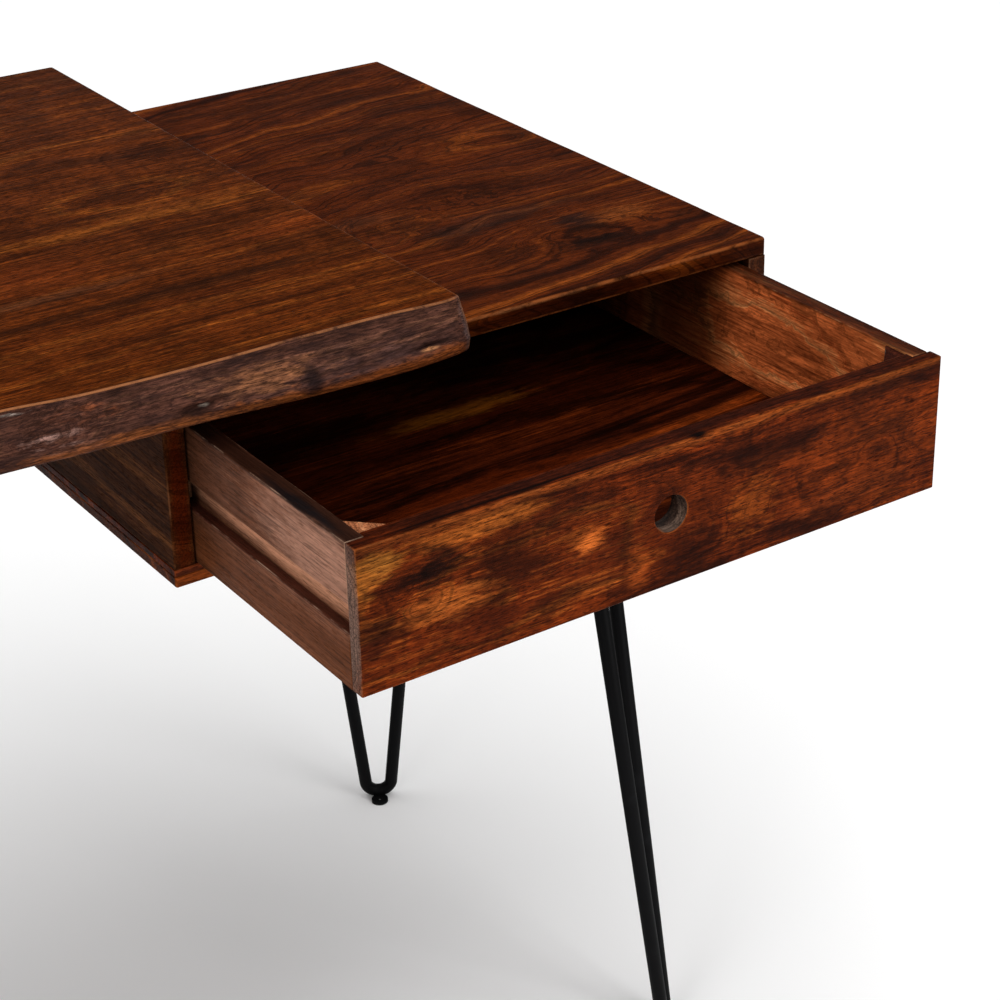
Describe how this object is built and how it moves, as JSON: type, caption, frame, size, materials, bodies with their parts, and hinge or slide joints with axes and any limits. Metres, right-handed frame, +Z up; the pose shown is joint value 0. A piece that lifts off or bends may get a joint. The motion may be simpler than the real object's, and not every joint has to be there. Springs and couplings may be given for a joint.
{
  "type": "corner desk",
  "caption": "Corner desk with a thick live-edge wooden top resting on a lower return and on a hanging drawer case, on black hairpin legs.",
  "frame": {"origin": "on the floor, in the middle of the desk's bounding box", "axes": "+X right along the main top, +Y to the back, +Z up"},
  "size_m": [1.68, 1.22, 0.763],
  "materials": {
    "live_edge_wood": "dark walnut stain, satin lacquer, raw live edge",
    "case_wood": "dark walnut stain, satin lacquer",
    "drawer_front_wood": "figured, walnut stain, satin lacquer",
    "drawer_wood": "thinly stained, satin",
    "inner_wood": "dark stain, satin",
    "runner_wood": "bare planed wood",
    "black_steel": "black powder coat",
    "screw_steel": "black phosphated steel"
  },
  "bodies": {
    "root": {"main_top": "live_edge_wood", "return_top": "live_edge_wood", "case_top": "case_wood", "case_bottom": "case_wood", "case_liner": "inner_wood", "case_left_side": "case_wood", "case_right_side": "case_wood", "case_back": "case_wood", "left_runner": "runner_wood", "right_runner": "runner_wood", "left_runner_screws": "screw_steel", "right_runner_screws": "screw_steel", "back_panel_screws": "screw_steel", "opening_stop": "runner_wood", "left_rear_stop": "runner_wood", "right_rear_stop": "runner_wood", "case_hanging_screws": "screw_steel", "return_joining_screws": "screw_steel", "case_front_leg_rod": "black_steel", "case_front_leg_plate": "black_steel", "case_front_leg_lug": "black_steel", "case_front_leg_screws": "screw_steel", "case_back_leg_rod": "black_steel", "case_back_leg_plate": "black_steel", "case_back_leg_lug": "black_steel", "case_back_leg_screws": "screw_steel", "return_front_left_leg_rod": "black_steel", "return_front_left_leg_plate": "black_steel", "return_front_left_leg_lug": "black_steel", "return_front_left_leg_screws": "screw_steel", "return_front_right_leg_rod": "black_steel", "return_front_right_leg_plate": "black_steel", "return_front_right_leg_lug": "black_steel", "return_front_right_leg_screws": "screw_steel", "return_back_left_leg_rod": "black_steel", "return_back_left_leg_plate": "black_steel", "return_back_left_leg_lug": "black_steel", "return_back_left_leg_screws": "screw_steel", "return_back_right_leg_rod": "black_steel", "return_back_right_leg_plate": "black_steel", "return_back_right_leg_lug": "black_steel", "return_back_right_leg_screws": "screw_steel"},
    "drawer": {"drawer_front": "drawer_front_wood", "drawer_left_side": "drawer_wood", "drawer_right_side": "drawer_wood", "drawer_back": "drawer_wood", "drawer_bottom": "inner_wood", "drawer_left_corner_block": "runner_wood", "drawer_right_corner_block": "runner_wood"}
  },
  "joints": [
    {"name": "drawer_slide", "type": "slide", "parent": "root", "child": "drawer", "axis": [0, -1, 0], "range_m": [-0.2, 0.16]}
  ]
}
